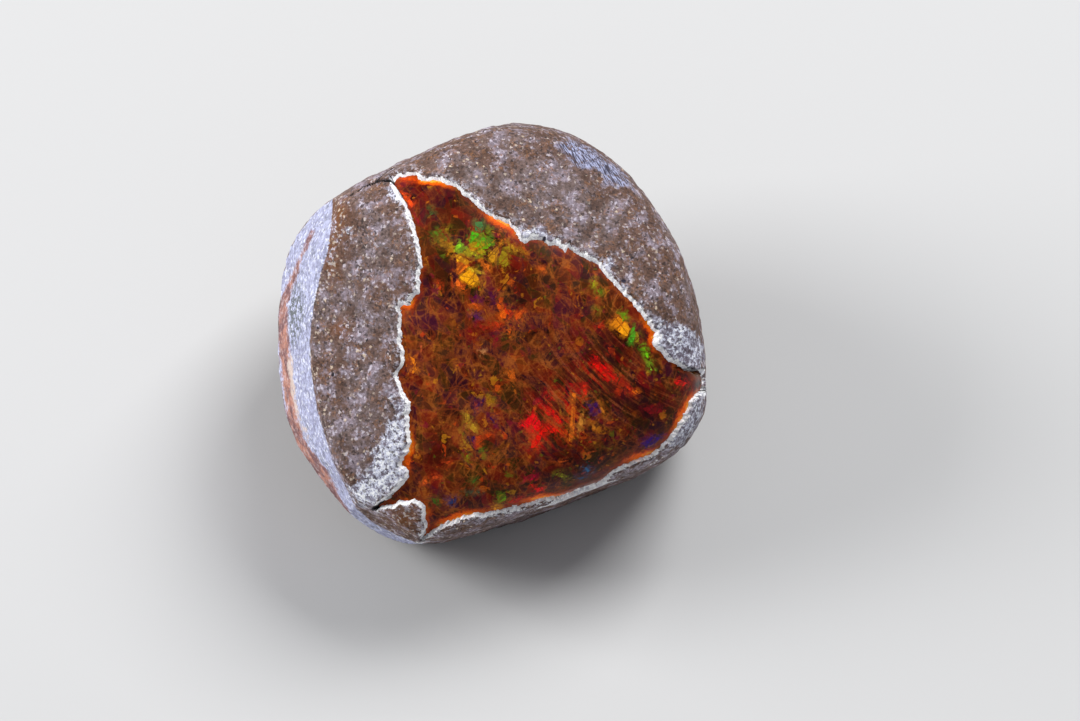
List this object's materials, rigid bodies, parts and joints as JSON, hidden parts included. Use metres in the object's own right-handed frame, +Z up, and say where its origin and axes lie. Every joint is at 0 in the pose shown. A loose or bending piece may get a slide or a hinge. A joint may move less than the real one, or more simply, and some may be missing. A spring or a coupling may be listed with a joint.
{
  "type": "rough opal nodule",
  "caption": "Rough opal nodule with a dull brown rind, a side ground to narrow flats, and a three-cornered window where the opal shows; lies on a flat back.",
  "frame": {"origin": "on the resting surface, under the middle of the stone's outline seen from above", "axes": "+Z up from the flat back that the stone rests on; +X to the right along the window's face; -Y towards the side that the window leans to, so the face looks up and 28 degrees to -Y"},
  "size_m": [0.0358, 0.0358, 0.0268],
  "materials": {
    "rind": "matte",
    "opal": "gloss"
  },
  "bodies": {
    "root": {"rough_opal": "rind"}
  },
  "joints": []
}
